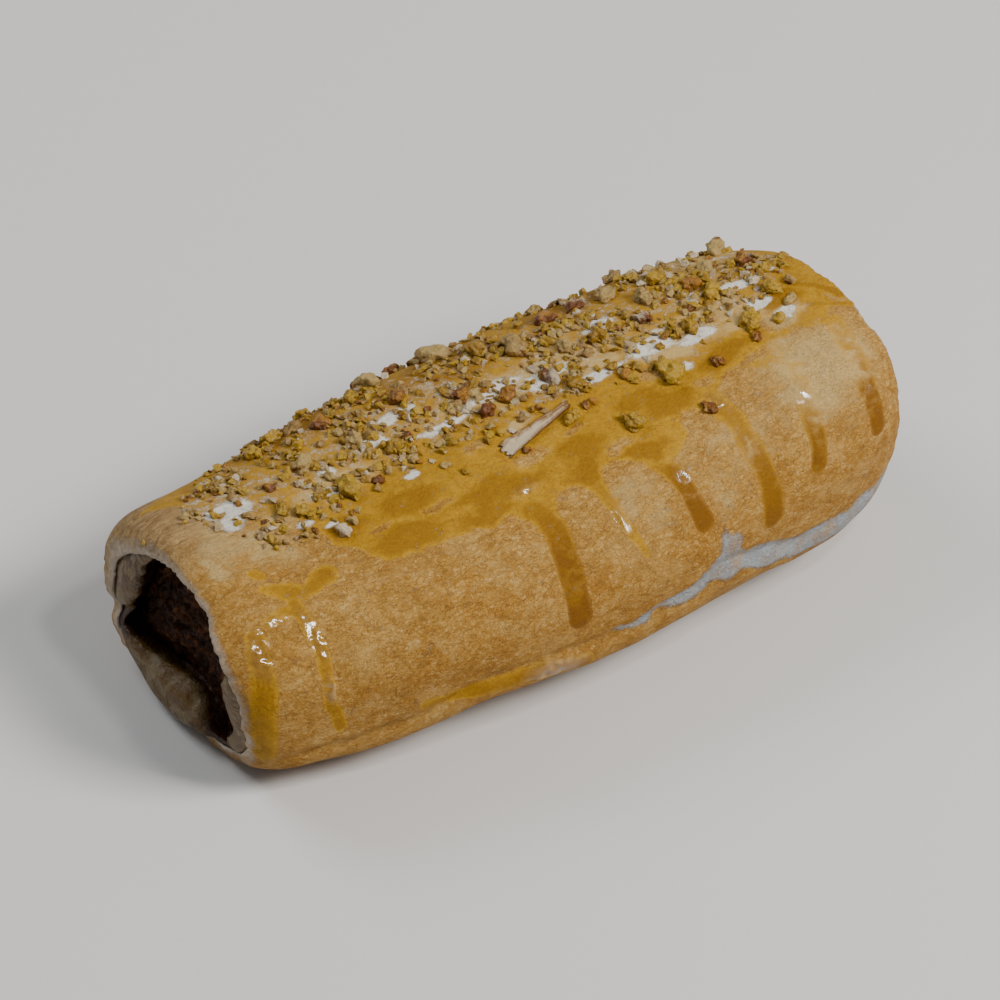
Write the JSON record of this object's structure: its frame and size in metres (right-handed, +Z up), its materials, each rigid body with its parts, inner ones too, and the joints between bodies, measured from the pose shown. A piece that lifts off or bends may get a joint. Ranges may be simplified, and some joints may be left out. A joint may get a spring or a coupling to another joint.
{
  "type": "filled pastry roll",
  "caption": "Open-ended roll of golden baked dough round a dark filling, with an inner turn of pale dough, chopped nuts along the top and a seam low on the front.",
  "frame": {"origin": "on the floor under the middle of the roll's box", "axes": "+X along the roll from the near mouth to the far one, +Y from the seam side to the back, +Z up"},
  "size_m": [0.1399, 0.0664, 0.044],
  "materials": {
    "baked_dough": "matt baked crust with glossy syrup",
    "moist_dough": "moist, soft shine",
    "filling": "granular, slightly moist"
  },
  "bodies": {
    "root": {"dough_shell": "baked_dough", "inner_dough": "moist_dough", "filling": "filling"}
  },
  "joints": []
}
